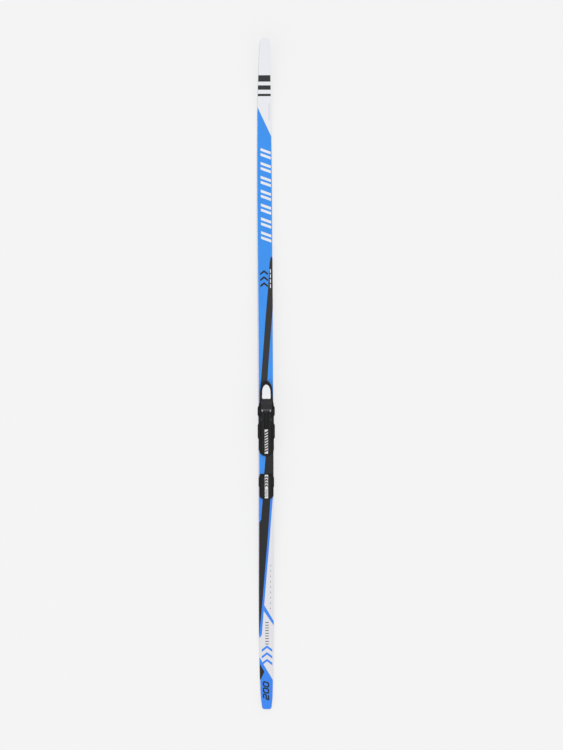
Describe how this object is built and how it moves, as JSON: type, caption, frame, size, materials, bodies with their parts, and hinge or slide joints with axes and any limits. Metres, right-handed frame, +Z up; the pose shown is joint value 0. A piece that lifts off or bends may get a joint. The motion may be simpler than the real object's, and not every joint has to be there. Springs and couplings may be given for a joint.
{
  "type": "cross country ski",
  "caption": "Long narrow touring ski with an upturned round tip, free camber, and a step-in toe-bar binding with a press plate and a separate heel plate.",
  "frame": {"origin": "on the floor under the ski, midway between tip and tail and on its centre line", "axes": "+Y towards the tip, +Z up from the sole to the binding, +X to the right seen from above with the tip ahead"},
  "size_m": [0.0512, 2, 0.07],
  "materials": {
    "sole_plastic": "stone ground",
    "glass_laminate": "cured resin",
    "core_wood": "planed",
    "spacer_plastic": "satin",
    "sidewall_plastic": "planed satin",
    "top_print": "printed gloss",
    "binding_plastic": "fine moulded grain",
    "press_white": "moulded satin",
    "bright_steel": "bright",
    "flexor_rubber": "matte",
    "strip_white": "printed satin",
    "screw_steel": "zinc"
  },
  "bodies": {
    "ski": {"running_base": "sole_plastic", "lower_laminate": "glass_laminate", "wood_core": "core_wood", "tip_spacer": "spacer_plastic", "tail_spacer": "spacer_plastic", "sidewall_left": "sidewall_plastic", "sidewall_right": "sidewall_plastic", "upper_laminate": "glass_laminate", "top_sheet": "top_print", "binding_base": "binding_plastic", "toe_housing": "binding_plastic", "press_plate_pin": "bright_steel", "claw_springs": "bright_steel", "flexor": "flexor_rubber", "toe_bar_saddle": "bright_steel", "toe_channel_strip": "strip_white", "heel_plate": "binding_plastic", "heel_channel_strip": "strip_white", "toe_screws": "screw_steel", "heel_screws": "screw_steel"},
    "claws": {"claw_slider": "bright_steel"},
    "press": {"press_plate": "press_white"}
  },
  "joints": [
    {"name": "claw_slide", "type": "slide", "parent": "ski", "child": "claws", "axis": [0, 1, 0], "range_m": [0, 0.005], "stiffness_N_per_m": 900, "springref_m": -0.003, "deforming": ["claw_springs"]},
    {"name": "press_tilt", "type": "hinge", "parent": "ski", "child": "press", "pos_m": [0, -0.039, 0.05496], "axis": [1, 0, 0], "range_deg": [0, 10]}
  ],
  "couplings": [
    {"joint": "press_tilt", "follows": "claw_slide", "rad_per_m": 34.9}
  ]
}
